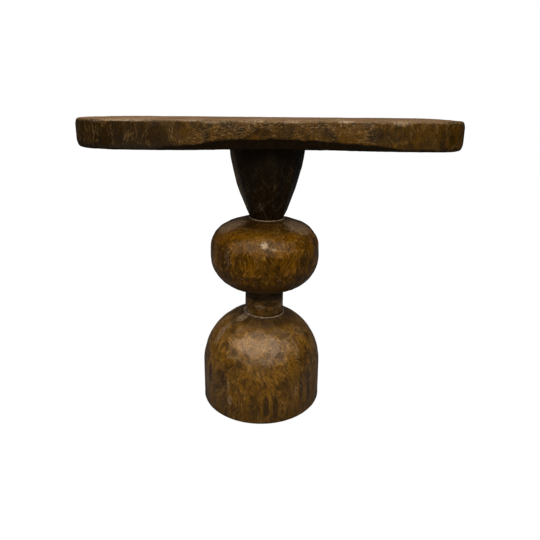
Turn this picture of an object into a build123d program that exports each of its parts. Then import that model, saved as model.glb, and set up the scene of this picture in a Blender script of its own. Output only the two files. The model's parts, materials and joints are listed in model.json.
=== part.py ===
"""Pedestal console table: a thick carved slab on a stack of four carved members.

A hardwood slab rests on a tapering capital, a squashed bulb, a short neck and a
heavy domed base. One steel tie rod runs down the middle of the stack, from a
tapped plate let into the slab to a nut in a pocket under the base, and draws
the five members together. Two dowels across every joint stop them turning.

Lengths are millimetres and angles degrees. The origin is on the floor, under
the middle of the slab. +X runs along the slab, +Y to its back and +Z up.
"""

import os
from math import atan2, copysign, cos, hypot, pi, radians, sin

from build123d import *

# --- the slab ---------------------------------------------------------------
top_length = 956.0
top_depth = 330.0
top_thickness = 68.0
side_draft = 1.8  # the sides lean in towards the underside
top_arris = 5.5  # round along the upper edge
under_arris = 7.5  # round along the lower edge
waist_sag = 12.0  # how far each long side is hollowed
waist_left = -144.0
waist_right = 246.0
waist_shoulder = 260.0  # radius where the hollow runs out into the side
right_corner = 88.0
right_bow = 22.0  # the right end swells this far past its corners

# --- the bevel chopped under each long side ---------------------------------
bevel_slope = 40.0  # up from level
bevel_depth = 26.0  # square to the slope, from the slab's lower edge
bevel_left = -194.0
bevel_full_left = -57.0
bevel_full_right = 139.0
bevel_right = 296.0
bevel_blend = 350.0  # radius that eases the depth in and out

# --- the capital, a taper with long drawknife flats -------------------------
capital_length = 196.0
capital_top_radius = 96.0  # from the middle to a flat
capital_foot_radius = 43.5
capital_fullness = 8.0  # how far the side swells past a straight cone
capital_flat_count = 10
capital_turn = 12.0
capital_arris = 18.0

# --- the bulb ---------------------------------------------------------------
bulb_radius = 144.0
bulb_height = 190.5  # between the edges of its two seats
bulb_crown_drop = 40.5  # from the upper seat's edge to the shoulder's corner
bulb_crown_shoulder = 66.0
bulb_foot_rise = 44.0  # from the lower seat's edge to the shoulder's corner
bulb_foot_shoulder = 88.0

# --- the neck ---------------------------------------------------------------
neck_radius = 51.6
neck_length = 76.0

# --- the domed base ---------------------------------------------------------
dome_radius = 158.0
dome_height = 237.0  # from its foot up to the edge of the neck's seat
dome_crown_drop = 104.5  # from the seat's edge to the shoulder's corner
dome_shoulder = 142.0
dome_foot_arris = 5.0

# --- seats between the members ----------------------------------------------
capital_seat_depth = 3.5
bulb_seat_depth = 3.0
dome_seat_depth = 4.0
seat_clearance = 0.4
seat_rim_bevel = 1.0
capital_shoulder_gap = 1.0  # the flats stop this far above the bulb

# --- where each member's middle lies along the slab -------------------------
rod_x = -1.5
capital_x = 3.0
bulb_x = -2.0
neck_x = -2.5
dome_x = -9.0

# --- tie rod, nut and washers -----------------------------------------------
rod_diameter = 12.0
rod_bore = 14.0
rod_end_chamfer = 1.5
rod_past_nut = 6.0
nut_across_flats = 19.0
nut_height = 10.0
nut_corner_chamfer = 1.0
lock_washer_diameter = 21.0
lock_washer_thickness = 2.5
lock_washer_split = 2.0
washer_side = 42.0
washer_thickness = 5.0
washer_corner = 4.0
washer_hole = 13.0
pocket_diameter = 64.0
pocket_depth = 34.0

# --- the tapped plate in the slab -------------------------------------------
plate_inset = 41.0  # from the capital's flats to the plate's edge
plate_thickness = 6.0
boss_diameter = 26.0
boss_height = 30.0
boss_weld = 3.0  # the bead round the foot of the boss
rod_short_of_boss = 3.0
thread_clearance = 0.05
plate_clearance = 0.4
screw_inset = 13.0  # from the plate's edge to the middle of a screw
screw_count = 4
screw_turn = 45.0
screw_length = 35.0
screw_diameter = 5.0
screw_head_diameter = 10.0
screw_head_height = 2.5
screw_point = 5.0
screw_clearance = 0.05
screw_drive_width = 5.5
screw_drive_slot = 1.2
screw_drive_depth = 1.4

# --- dowels -----------------------------------------------------------------
dowel_diameter = 10.0
dowel_length = 40.0
dowel_chamfer = 1.0
dowel_side_clearance = 0.1
dowel_end_clearance = 0.5
slab_dowel_inset = 20.0  # from the capital's flats, at its top
stack_dowel_inset = 16.0  # from the capital's foot

# --- felt pads --------------------------------------------------------------
pad_diameter = 32.0
pad_thickness = 3.0
pad_inset = 18.0  # from the side of the base to a pad's edge
pad_count = 4
pad_turn = 45.0

# --- levels, from the floor up ----------------------------------------------
dome_bottom = pad_thickness
dome_rim = dome_bottom + dome_height
neck_bottom = dome_rim - dome_seat_depth
neck_top = neck_bottom + neck_length
bulb_foot = neck_top - bulb_seat_depth
bulb_rim = bulb_foot + bulb_height
capital_bottom = bulb_rim - capital_seat_depth
capital_top = capital_bottom + capital_length
table_height = capital_top + top_thickness
pocket_top = dome_bottom + pocket_depth
washer_bottom = pocket_top - washer_thickness
lock_washer_bottom = washer_bottom - lock_washer_thickness
nut_bottom = lock_washer_bottom - nut_height
rod_bottom = nut_bottom - rod_past_nut
boss_top = capital_top + plate_thickness + boss_height
rod_top = boss_top - rod_short_of_boss

# --- seats and circles, from what they carry --------------------------------
capital_seat_radius = capital_foot_radius + seat_clearance
neck_seat_radius = neck_radius + seat_clearance
plate_diameter = 2 * (capital_top_radius - plate_inset)
screw_circle = plate_diameter - 2 * screw_inset
slab_dowel_circle = 2 * (capital_top_radius - slab_dowel_inset)
stack_dowel_circle = 2 * (capital_foot_radius - stack_dowel_inset)
pad_circle = 2 * (dome_radius - pad_inset) - pad_diameter

shoulder_reach = 0.6  # share of its radius that a shoulder takes from the side
edge_match = 0.3  # how closely an edge has to fit where it is looked for


def drum(diameter, bottom, top, x=rod_x, y=0.0):
    """An upright cylinder between two levels, on the rod's axis if not told."""
    length = top - bottom
    return Pos(x, y, (bottom + top) / 2) * Cylinder(diameter / 2, length)


def around(count, circle, first_angle=0.0, x=rod_x):
    """Evenly spaced places on a circle, as (x, y)."""
    places = []
    for index in range(count):
        angle = radians(first_angle) + 2 * pi * index / count
        places.append((x + circle / 2 * cos(angle), circle / 2 * sin(angle)))
    return places


def crown(radius, seat_radius, rim, drop):
    """An arc in the XZ plane, from a body's side up to its axis.

    It passes through the edge of the seat, and meets the side drop below that
    edge, or above it where drop is negative.
    """
    centre = rim + (seat_radius**2 - radius**2 - drop**2) / (2 * drop)
    crown_radius = hypot(seat_radius, rim - centre)
    summit = centre + copysign(crown_radius, drop)
    return ThreePointArc((radius, 0, rim - drop), (seat_radius, 0, rim), (0, 0, summit))


def corner_at(face, level):
    """The outer corner of a half section that lies at this level."""
    at_level = face.vertices().filter_by(lambda v: abs(v.Z - level) < edge_match)
    return at_level.sort_by(Axis.X)[-1]


# --- the slab ---------------------------------------------------------------
def slab_outline():
    """Round left end, squarer bowed right end, and a slight waist between."""
    half_depth = top_depth / 2
    half_length = top_length / 2
    left_centre = -half_length + half_depth
    right_end = half_length - right_bow
    waist_middle = (waist_left + waist_right) / 2
    edges = [
        ThreePointArc((left_centre, half_depth), (-half_length, 0), (left_centre, -half_depth)),
        Line((left_centre, -half_depth), (waist_left, -half_depth)),
        ThreePointArc(
            (waist_left, -half_depth),
            (waist_middle, -half_depth + waist_sag),
            (waist_right, -half_depth),
        ),
        Line((waist_right, -half_depth), (right_end, -half_depth)),
        ThreePointArc((right_end, -half_depth), (half_length, 0), (right_end, half_depth)),
        Line((right_end, half_depth), (waist_right, half_depth)),
        ThreePointArc(
            (waist_right, half_depth),
            (waist_middle, half_depth - waist_sag),
            (waist_left, half_depth),
        ),
        Line((waist_left, half_depth), (left_centre, half_depth)),
    ]
    outline = make_face(edges)
    left_shoulders = outline.vertices().filter_by(lambda v: abs(v.X - waist_left) < edge_match)
    outline = fillet(left_shoulders, waist_shoulder)
    right_shoulders = outline.vertices().filter_by(lambda v: abs(v.X - waist_right) < edge_match)
    outline = fillet(right_shoulders, waist_shoulder)
    corners = outline.vertices().filter_by(lambda v: abs(v.X - right_end) < edge_match)
    return fillet(corners, right_corner)


def bevel_cutter():
    """Takes the lower front edge off on a slope that fades out at both ends."""
    slope = (0, cos(radians(bevel_slope)), -sin(radians(bevel_slope)))
    lower_edge = (0, -top_depth / 2, capital_top)
    across = Plane(origin=lower_edge, x_dir=(1, 0, 0), z_dir=slope)
    section = Polyline(
        (bevel_left, 0),
        (bevel_full_left, -bevel_depth),
        (bevel_full_right, -bevel_depth),
        (bevel_right, 0),
        (bevel_right, bevel_depth),
        (bevel_left, bevel_depth),
        close=True,
    )
    section = make_face(section)
    deepest = section.vertices().filter_by(lambda v: v.Y < -bevel_depth / 2)
    section = fillet(deepest, bevel_blend)
    return extrude(across * section, amount=top_thickness, both=True)


def tabletop():
    """The slab, with its bevels, plate recess and dowel holes."""
    slab = extrude(
        Pos(0, 0, table_height) * slab_outline(),
        amount=top_thickness,
        dir=(0, 0, -1),
        taper=side_draft,
    )
    slab = fillet(slab.faces().sort_by(Axis.Z)[-1].edges(), top_arris)
    slab = fillet(slab.faces().sort_by(Axis.Z)[0].edges(), under_arris)
    cutter = bevel_cutter()
    slab -= cutter
    slab -= mirror(cutter, about=Plane.XZ)
    recess = plate_diameter + 2 * plate_clearance
    boss_room = boss_diameter + 2 * boss_weld + 2 * plate_clearance
    slab -= drum(recess, capital_top, capital_top + plate_thickness)
    slab -= drum(boss_room, capital_top, boss_top + plate_clearance)
    for x, y in screw_places():
        slab -= Pos(x, y, capital_top) * screw_shape(screw_clearance)
    return slab - dowel_holes(capital_top, slab_dowel_circle)


# --- the four members of the pedestal ---------------------------------------
def capital():
    """Ten flats that all follow one full taper, on a short round tenon."""
    shoulder = bulb_rim + capital_shoulder_gap
    height = capital_top - shoulder
    lean = atan2(capital_top_radius - capital_foot_radius, height)
    swollen_x = (capital_top_radius + capital_foot_radius) / 2 + capital_fullness * cos(lean)
    swollen_z = (capital_top + shoulder) / 2 - capital_fullness * sin(lean)
    right_side = ThreePointArc(
        (capital_top_radius, 0, capital_top),
        (swollen_x, 0, swollen_z),
        (capital_foot_radius, 0, shoulder),
    )
    left_side = ThreePointArc(
        (-capital_foot_radius, 0, shoulder),
        (-swollen_x, 0, swollen_z),
        (-capital_top_radius, 0, capital_top),
    )
    foot = Line(right_side @ 1, left_side @ 0)
    head = Line(left_side @ 1, right_side @ 0)
    section = make_face([right_side, foot, left_side, head])
    pair_of_flats = extrude(section, amount=2 * capital_top_radius, both=True)
    body = Rot(0, 0, capital_turn) * pair_of_flats
    for pair in range(1, capital_flat_count // 2):
        turn = capital_turn + 360 * pair / capital_flat_count
        body = body & (Rot(0, 0, turn) * pair_of_flats)
    arrises = body.edges().filter_by(lambda e: e.bounding_box().size.Z > height / 2)
    body = fillet(arrises, capital_arris)
    body = Pos(capital_x, 0, 0) * body
    body += drum(2 * capital_foot_radius, capital_bottom, shoulder, capital_x)
    body -= drum(rod_bore, capital_bottom, capital_top)
    body -= dowel_holes(capital_top, slab_dowel_circle)
    return body - dowel_holes(capital_bottom, stack_dowel_circle)


def bulb():
    """A squashed ball, squarer above, with a round seat in its top and its foot."""
    top_arc = crown(bulb_radius, capital_seat_radius, bulb_rim, bulb_crown_drop)
    foot_arc = crown(bulb_radius, neck_seat_radius, bulb_foot, -bulb_foot_rise)
    side = Line(foot_arc @ 0, top_arc @ 0)
    axis = Line(top_arc @ 1, foot_arc @ 1)
    section = make_face([side, top_arc, axis, foot_arc])
    full_reach = shoulder_reach * (bulb_crown_shoulder + bulb_foot_shoulder)
    ease = min(1, side.length / full_reach)
    section = fillet(corner_at(section, (top_arc @ 0).Z), ease * bulb_crown_shoulder)
    section = fillet(corner_at(section, (foot_arc @ 0).Z), ease * bulb_foot_shoulder)
    body = Pos(bulb_x, 0, 0) * revolve(section, Axis.Z)
    body -= drum(rod_bore, (foot_arc @ 1).Z, (top_arc @ 1).Z)
    body = with_seat(body, capital_seat_radius, capital_x, capital_bottom, (top_arc @ 1).Z)
    body = with_seat(body, neck_seat_radius, neck_x, neck_top, (foot_arc @ 1).Z)
    body -= dowel_holes(capital_bottom, stack_dowel_circle)
    return body - dowel_holes(neck_top, stack_dowel_circle)


def neck():
    """A short plain cylinder between the bulb and the base."""
    body = drum(2 * neck_radius, neck_bottom, neck_top, neck_x)
    body -= drum(rod_bore, neck_bottom, neck_top)
    body -= dowel_holes(neck_bottom, stack_dowel_circle)
    return body - dowel_holes(neck_top, stack_dowel_circle)


def dome_base():
    """Upright below and domed above, with a seat for the neck and a nut pocket."""
    top_arc = crown(dome_radius, neck_seat_radius, dome_rim, dome_crown_drop)
    side_and_floor = Polyline(
        top_arc @ 0,
        (dome_radius, 0, dome_bottom),
        (0, 0, dome_bottom),
        top_arc @ 1,
    )
    section = make_face([top_arc, *side_and_floor.edges()])
    side_height = (top_arc @ 0).Z - dome_bottom - dome_foot_arris
    shoulder = min(dome_shoulder, side_height / shoulder_reach)
    section = fillet(corner_at(section, (top_arc @ 0).Z), shoulder)
    section = fillet(corner_at(section, dome_bottom), dome_foot_arris)
    body = Pos(dome_x, 0, 0) * revolve(section, Axis.Z)
    body -= drum(rod_bore, dome_bottom, (top_arc @ 1).Z)
    body = with_seat(body, neck_seat_radius, neck_x, neck_bottom, (top_arc @ 1).Z)
    body -= drum(pocket_diameter, dome_bottom, pocket_top)
    return body - dowel_holes(neck_bottom, stack_dowel_circle)


def with_seat(body, radius, x, floor, summit):
    """Sinks a flat-floored round seat into the body's top or foot and bevels its rim."""
    bottom = min(floor, summit)
    top = max(floor, summit)
    body -= drum(2 * radius, bottom, top, x)
    rim = body.edges().filter_by(lambda e: is_rim(e.bounding_box(), radius, x, floor))
    return chamfer(rim, seat_rim_bevel)


def is_rim(box, radius, x, floor):
    """Whether an edge's box is that of the mouth of the seat, and not of its floor."""
    as_wide = abs(box.size.Y - 2 * radius) < edge_match
    in_place = abs(box.center().X - x) < edge_match
    off_floor = abs(box.center().Z - floor) > edge_match
    return as_wide and in_place and off_floor


# --- fasteners --------------------------------------------------------------
def dowel_places(circle):
    """Two places in line with the slab, either side of the rod."""
    return around(2, circle)


def dowel_holes(joint, circle):
    """The holes that one joint's dowels need, on both sides of it."""
    reach = dowel_length / 2 + dowel_end_clearance
    width = dowel_diameter + 2 * dowel_side_clearance
    holes = [drum(width, joint - reach, joint + reach, x, y) for x, y in dowel_places(circle)]
    return holes[0] + holes[1]


def dowels(joint, circle):
    """The two dowels of one joint, half in each member."""
    pins = []
    for x, y in dowel_places(circle):
        pin = drum(dowel_diameter, joint - dowel_length / 2, joint + dowel_length / 2, x, y)
        pins.append(chamfer(pin.edges().filter_by(GeomType.CIRCLE), dowel_chamfer))
    return Compound(children=pins)


def tie_rod():
    """The long rod that draws the stack together."""
    body = drum(rod_diameter, rod_bottom, rod_top)
    return chamfer(body.edges().filter_by(GeomType.CIRCLE), rod_end_chamfer)


def top_plate():
    """A round plate with a tapped boss, let in flush under the slab."""
    plate_top = capital_top + plate_thickness
    body = drum(plate_diameter, capital_top, plate_top)
    body += drum(boss_diameter, plate_top, boss_top)
    circles = body.edges().filter_by(GeomType.CIRCLE)
    boss_foot = circles.filter_by(lambda e: is_circle_at(e, boss_diameter, plate_top))
    body = chamfer(boss_foot, boss_weld)
    body -= drum(rod_diameter + 2 * thread_clearance, capital_top, boss_top)
    for x, y in screw_places():
        body -= Pos(x, y, capital_top) * screw_shape(screw_clearance)
    return body


def screw_places():
    """Where the plate's screws stand, as (x, y)."""
    return around(screw_count, screw_circle, screw_turn)


def is_circle_at(edge, diameter, level):
    """Whether a round edge has this diameter and lies at this level."""
    as_wide = abs(2 * edge.radius - diameter) < edge_match
    return as_wide and abs(edge.arc_center.Z - level) < edge_match


def screw_shape(room=0.0):
    """A countersunk wood screw, head down at the origin, or the hole for it."""
    head = screw_head_diameter / 2 + room
    shank = screw_diameter / 2 + room
    length = screw_length + room
    half_section = Polyline(
        (0, 0, 0),
        (head, 0, 0),
        (shank, 0, screw_head_height),
        (shank, 0, length - screw_point),
        (0, 0, length),
        close=True,
    )
    return revolve(make_face(half_section), Axis.Z)


def top_plate_screws():
    """The screws that hold the plate to the slab, each with a cross slot."""
    slot = Box(screw_drive_width, screw_drive_slot, 2 * screw_drive_depth)
    cross = slot + Rot(0, 0, 90) * slot
    screw = screw_shape() - cross
    return Compound(children=[Pos(x, y, capital_top) * screw for x, y in screw_places()])


def base_washer():
    """A square plate washer that spreads the nut's pull into the wood."""
    square = RectangleRounded(washer_side, washer_side, washer_corner)
    body = extrude(Pos(rod_x, 0, washer_bottom) * square, amount=washer_thickness)
    return body - drum(washer_hole, washer_bottom, pocket_top)


def base_lock_washer():
    """A split spring washer between the nut and the plate washer."""
    ring = drum(lock_washer_diameter, lock_washer_bottom, washer_bottom)
    ring -= drum(washer_hole, lock_washer_bottom, washer_bottom)
    gap = Box(lock_washer_diameter, lock_washer_split, 2 * lock_washer_thickness)
    return ring - Pos(rod_x + lock_washer_diameter / 2, 0, lock_washer_bottom) * gap


def base_nut():
    """A hexagon nut with its corners turned off on both faces."""
    hexagon = RegularPolygon(nut_across_flats / 2, 6, major_radius=False)
    body = extrude(Pos(rod_x, 0, nut_bottom) * hexagon, amount=nut_height)
    turned = drum(nut_across_flats / cos(pi / 6), nut_bottom, lock_washer_bottom)
    body &= chamfer(turned.edges().filter_by(GeomType.CIRCLE), nut_corner_chamfer)
    return body - drum(rod_diameter + 2 * thread_clearance, nut_bottom, lock_washer_bottom)


# --- everything, by name ----------------------------------------------------
pieces = {
    "tabletop": tabletop(),
    "capital": capital(),
    "bulb": bulb(),
    "neck": neck(),
    "dome_base": dome_base(),
    "tie_rod": tie_rod(),
    "top_plate": top_plate(),
    "top_plate_screws": top_plate_screws(),
    "base_washer": base_washer(),
    "base_lock_washer": base_lock_washer(),
    "base_nut": base_nut(),
    "slab_joint_dowels": dowels(capital_top, slab_dowel_circle),
    "capital_joint_dowels": dowels(capital_bottom, stack_dowel_circle),
    "bulb_joint_dowels": dowels(neck_top, stack_dowel_circle),
    "neck_joint_dowels": dowels(neck_bottom, stack_dowel_circle),
}
for number, (pad_x, pad_y) in enumerate(around(pad_count, pad_circle, pad_turn, dome_x), start=1):
    pieces[f"felt_pad_{number}"] = drum(pad_diameter, 0, pad_thickness, pad_x, pad_y)

os.makedirs("parts", exist_ok=True)
for name, piece in pieces.items():
    export_step(piece, f"parts/{name}.step")

print(f"table height {table_height:.1f}, slab underside {capital_top:.1f}")
print(f"bulb {bulb_foot:.1f} to {bulb_rim:.1f}, dome rim {dome_rim:.1f}, rod {rod_top - rod_bottom:.1f} long")
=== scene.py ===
# %% [markdown]
# # A carved pedestal console table
#
# A thick hardwood slab stands on four members carved from the same dark wood: a
# capital with long drawknife flats, a squashed bulb, a short neck and a domed base.
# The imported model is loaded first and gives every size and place, so each carved
# piece below is laid exactly over the plain solid that it stands for.

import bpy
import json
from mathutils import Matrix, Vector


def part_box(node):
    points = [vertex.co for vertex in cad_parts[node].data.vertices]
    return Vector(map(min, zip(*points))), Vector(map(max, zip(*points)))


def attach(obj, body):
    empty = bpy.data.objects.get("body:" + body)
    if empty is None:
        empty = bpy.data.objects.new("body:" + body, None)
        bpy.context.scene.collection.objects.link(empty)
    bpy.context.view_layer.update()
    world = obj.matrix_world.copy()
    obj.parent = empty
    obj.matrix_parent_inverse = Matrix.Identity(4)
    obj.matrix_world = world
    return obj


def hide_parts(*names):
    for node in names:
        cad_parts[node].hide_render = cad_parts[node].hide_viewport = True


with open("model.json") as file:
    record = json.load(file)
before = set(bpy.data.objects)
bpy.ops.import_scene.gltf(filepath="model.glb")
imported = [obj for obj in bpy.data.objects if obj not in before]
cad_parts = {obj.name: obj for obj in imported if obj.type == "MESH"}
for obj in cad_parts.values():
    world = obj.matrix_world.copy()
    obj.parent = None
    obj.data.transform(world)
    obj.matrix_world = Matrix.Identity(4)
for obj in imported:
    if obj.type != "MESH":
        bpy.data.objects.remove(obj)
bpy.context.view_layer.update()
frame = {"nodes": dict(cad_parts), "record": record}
print("nodes:", ", ".join(sorted(frame["nodes"])))

# %% Blender's own modules
import json
import random
from math import acos, asin, atan2, cos, hypot, pi, radians, sin, sqrt, tau

import bmesh
import bpy
import numpy as np
from mathutils import Matrix, Vector

# %% [markdown]
# ## The camera
#
# A long lens far away would flatten the table. It is seen from close by instead,
# from just above the height of its top and tipped 10 degrees down, so the top shows
# as a thin strip. The lens is shifted a little rather than tipped more, which
# keeps the pedestal from leaning, and the camera is rolled by about half a degree.

# %% The camera
FRAME_PIXELS, FOCAL_PIXELS = 540, 479.6
EYE = (0.0107, -1.2419, 0.7948)
TIPPED_DOWN, ROLLED = 10, 0.51  # degrees
LENS_SHIFT = -0.1497  # in frames, so that the whole table is in view
eye = bpy.data.cameras.new("eye")
eye.sensor_width = 36
eye.lens = eye.sensor_width * FOCAL_PIXELS / FRAME_PIXELS
eye.shift_y = LENS_SHIFT
camera = bpy.data.objects.new("camera", eye)
turned = (Matrix.Rotation(radians(90 - TIPPED_DOWN), 4, "X")
          @ Matrix.Rotation(radians(ROLLED), 4, "Z"))
camera.matrix_world = Matrix.Translation(EYE) @ turned
bpy.context.scene.collection.objects.link(camera)
bpy.context.scene.camera = camera
bpy.context.scene.view_settings.view_transform = "Standard"
print(f"lens {eye.lens:.2f} mm")

# %% [markdown]
# ## Colours, and a few words for building materials
#
# Colours are written here as they look on a screen and turned into the linear
# values that shaders work with. The helpers below only add a node and join it up,
# so that a material further down reads from its inputs to its result.

# %% Helpers for materials
def tint(red, green, blue):
    """A screen colour from 0 to 255 as the linear colour that a shader takes."""
    shares = [value / 255 for value in (red, green, blue)]
    return (*[s / 12.92 if s <= 0.04045 else ((s + 0.055) / 1.055) ** 2.4 for s in shares], 1)


def new_material(name):
    """An empty node material: its node tree and its main shader."""
    material = bpy.data.materials.new(name)
    material.use_nodes = True
    return material, material.node_tree, material.node_tree.nodes["Principled BSDF"]


def feed(tree, sockets, values):
    """Joins sockets, called by name or number, to others, or gives them plain values."""
    for key, value in values.items():
        if isinstance(value, bpy.types.NodeSocket):
            tree.links.new(value, sockets[key])
        else:
            sockets[key].default_value = value


def node(tree, kind, **settings):
    """Adds a node. A setting is one of its properties, or else one of its sockets."""
    made = tree.nodes.new("ShaderNode" + kind)
    for name, value in settings.items():
        if hasattr(made, name):
            setattr(made, name, value)
        else:
            feed(tree, made.inputs, {name.replace("_", " ").title(): value})
    return made


def math(tree, operation, *values):
    """One sum on up to three numbers or sockets."""
    made = node(tree, "Math", operation=operation)
    feed(tree, made.inputs, dict(enumerate(values)))
    return made.outputs[0]


def limits(tree, value, low, high, to_low=0.0, to_high=1.0):
    """Stretches the part of a value between low and high over a new range."""
    made = node(tree, "MapRange", clamp=True, interpolation_type="SMOOTHSTEP", value=value,
                from_min=low, from_max=high, to_min=to_low, to_max=to_high)
    return made.outputs["Result"]


def blend(tree, share, first, second, blend_type="MIX"):
    """Mixes two colours, each a colour or a socket, by a share that may be a socket."""
    made = node(tree, "Mix", data_type="RGBA", blend_type=blend_type)
    feed(tree, made.inputs, {0: share, 6: first, 7: second})
    return made.outputs[2]


# %% Helpers for places and noises
def on_object(tree):
    """Where a point lies on the object, in metres."""
    return node(tree, "TexCoord").outputs["Object"]


def split(tree, vector):
    """A place's X, Y and Z."""
    return node(tree, "SeparateXYZ", vector=vector).outputs


def stretched(tree, across, along, turn=(0, 0, 0), start=None):
    """Coordinates that run slower along the grain than across it."""
    start = on_object(tree) if start is None else start
    return node(tree, "Mapping", vector_type="TEXTURE", vector=start, rotation=turn,
                scale=(across, across, along)).outputs["Vector"]


def noise(tree, where, detail=3.0, roughness=0.55, distortion=0.0):
    """Cloudy values from 0 to 1, one cloud to every unit of the coordinates."""
    return node(tree, "TexNoise", vector=where, scale=1.0, detail=detail, roughness=roughness,
                distortion=distortion).outputs["Fac"]


def stored(tree, name):
    """A number that the carving left on every point of the mesh."""
    return node(tree, "Attribute", attribute_name=name).outputs["Fac"]


def emboss(tree, shader, height, distance, strength=1.0):
    """Shades a skin as if it rose and fell with a height, by up to this distance."""
    bump = node(tree, "Bump", strength=strength, distance=distance)
    tree.links.new(height, bump.inputs["Height"])
    tree.links.new(bump.outputs["Normal"], shader.inputs["Normal"])


# %% [markdown]
# ## The carved wood
#
# The wood is stained, then waxed. Stain sinks deep into end grain and hollows, so
# its colour wanders in patches and in streaks that follow the tool. Handling wears
# the ridges between two cuts back to a paler wood, and scratches go grey. Shade
# round the seats, under the slab and where surfaces turn from the light is painted
# in dark, and a few lips, spots and bands are painted pale as highlight and sheen.
# The carving stores on the mesh where each of these belongs, and one recipe turns
# them into colour and gloss for every member.

# %% Streaks that follow the tool
WINDING_RISE = 0.14  # how far a streak rises while it winds round by its whole lean
CROSS_MIDDLE, CROSS_REACH, CROSS_BLEND = 0.035, 0.212, 0.010  # where the slab's tool turned


def winding(tree, across, along, lean):
    """Streaks on a round piece. With a lean they wind round as they rise."""
    turn = math(tree, "MULTIPLY", split(tree, on_object(tree))["Z"], lean / WINDING_RISE)
    turned = node(tree, "VectorRotate", rotation_type="Z_AXIS", vector=on_object(tree), angle=turn)
    return stretched(tree, across, along, start=turned.outputs["Vector"])


def leaning(tree, across, along, lean):
    """Streaks up the slab's sides, which lean a little along its length."""
    return stretched(tree, across, along, (0, lean * 0.6, 0))


def ringed(tree, across, along, lean):
    """Streaks that run level round a piece, as scraping on a lathe leaves them."""
    return stretched(tree, along, across, (0, lean * 0.15, 0))


def crossing(tree, across, along, lean):
    """Level streaks in the middle of the slab, and upright ones towards both ends."""
    x = split(tree, on_object(tree))["X"]
    out = math(tree, "ABSOLUTE", math(tree, "SUBTRACT", x, CROSS_MIDDLE))
    made = node(tree, "Mix", data_type="VECTOR")
    feed(tree, made.inputs, {0: limits(tree, out, CROSS_REACH, CROSS_REACH + CROSS_BLEND),
                             4: ringed(tree, across, along, lean),
                             5: leaning(tree, across, along * 1.5, lean)})
    return made.outputs[1]


def mixed(tree, share, first, second):
    """A number part of the way from the first to the second."""
    return math(tree, "MULTIPLY_ADD", share, math(tree, "SUBTRACT", second, first), first)


def brushed(tree, run, width, length):
    """Fine streaks that change their way from one patch of the surface to the next."""
    where = noise(tree, stretched(tree, 0.035, 0.045), 2, 0.5)
    upright, rising, falling = (noise(tree, run(tree, width, length * reach, lean), 3, 0.62)
                                for reach, lean in ((1, 0.06), (0.7, -0.75), (0.7, 0.65)))
    some = mixed(tree, limits(tree, where, 0.50, 0.55), upright, rising)
    return mixed(tree, limits(tree, where, 0.43, 0.48, 1, 0), some, falling)


def ragged(tree, value, breaker, width=0.24):
    """Turns a soft spot into one with a broken edge, with the help of a noise."""
    moved = math(tree, "ADD", value, math(tree, "MULTIPLY_ADD", breaker, 1.6, -0.8))
    return limits(tree, moved, 0.5 - width, 0.5 + width)


# %% The colour of the carved wood
def wood_colour(tree, deep, body, gold, worn, streak, run, brush, hollows, scratches):
    """Layers of colour from the ground up: patches, streaks, staining and painted shade, wear, and
    a paler top partly painted as sheen.
    """
    broad = noise(tree, run(tree, *streak, 0.1), 4, 0.62, 0.5)
    patch = noise(tree, stretched(tree, 0.036, 0.055), 4, 0.62, 0.6)
    speckle = noise(tree, stretched(tree, 0.0045, 0.0045), 3, 0.65)
    colour = blend(tree, limits(tree, broad, 0.36, 0.62), body, gold)
    colour = blend(tree, limits(tree, patch, 0.45, 0.66, 0, 0.80), colour, deep)
    gilt = ragged(tree, stored(tree, "gilt"), broad)
    colour = blend(tree, math(tree, "MULTIPLY", gilt, 0.70), colour, gold)
    colour = blend(tree, limits(tree, brush, 0.35, 0.51, hollows, 0), colour, deep)
    colour = blend(tree, limits(tree, speckle, 0.32, 0.50, 0.40, 0), colour, deep)

    # Darkening stored by the carving: partly real staining, partly painted shade round the seats
    # and on the slab's ends where they turn from the light.
    breaker = math(tree, "MULTIPLY_ADD", brush, 0.45, math(tree, "MULTIPLY", broad, 0.55))
    stain = ragged(tree, stored(tree, "stain"), breaker)
    dark = tuple(value * 0.45 for value in deep[:3]) + (1,)
    colour = blend(tree, math(tree, "MULTIPLY", stain, 0.80), colour, dark)

    tone = math(tree, "MULTIPLY_ADD", stored(tree, "tone"), 0.07, 1.0)
    grey = node(tree, "CombineColor", red=tone, green=tone, blue=tone)
    colour = blend(tree, 1.0, colour, grey.outputs[0], "MULTIPLY")
    rubbed = math(tree, "MULTIPLY", stored(tree, "ridge"), limits(tree, brush, 0.48, 0.60))
    colour = blend(tree, math(tree, "MULTIPLY", rubbed, 0.22), colour, worn)
    pale = math(tree, "MULTIPLY", limits(tree, brush, 0.57, 0.70),
                limits(tree, speckle, 0.40, 0.58))
    colour = blend(tree, math(tree, "MULTIPLY", pale, scratches), colour, worn)

    # A paler top, and pale flats on the capital's sides: partly worn wood, partly painted sheen and
    # reflection where they face the light.
    board = noise(tree, stretched(tree, 0.007, 0.13, (0, pi / 2, 0)), 4, 0.65, 0.5)
    board = limits(tree, board, 0.34, 0.62)
    rubbed_top = blend(tree, board, tint(104, 74, 44), tint(160, 122, 82))
    bare = math(tree, "MULTIPLY", ragged(tree, stored(tree, "bare"), patch), 0.85)
    return blend(tree, bare, colour, rubbed_top), patch, speckle


# %% Scuffs and lips, painted highlight and sheen, and painted shade on top of it
# The pale lip colour is partly worn wood and partly painted highlight; the near black one is
# painted shade.
LIP, GREASE = tint(176, 150, 118), tint(6, 3, 0)


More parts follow.
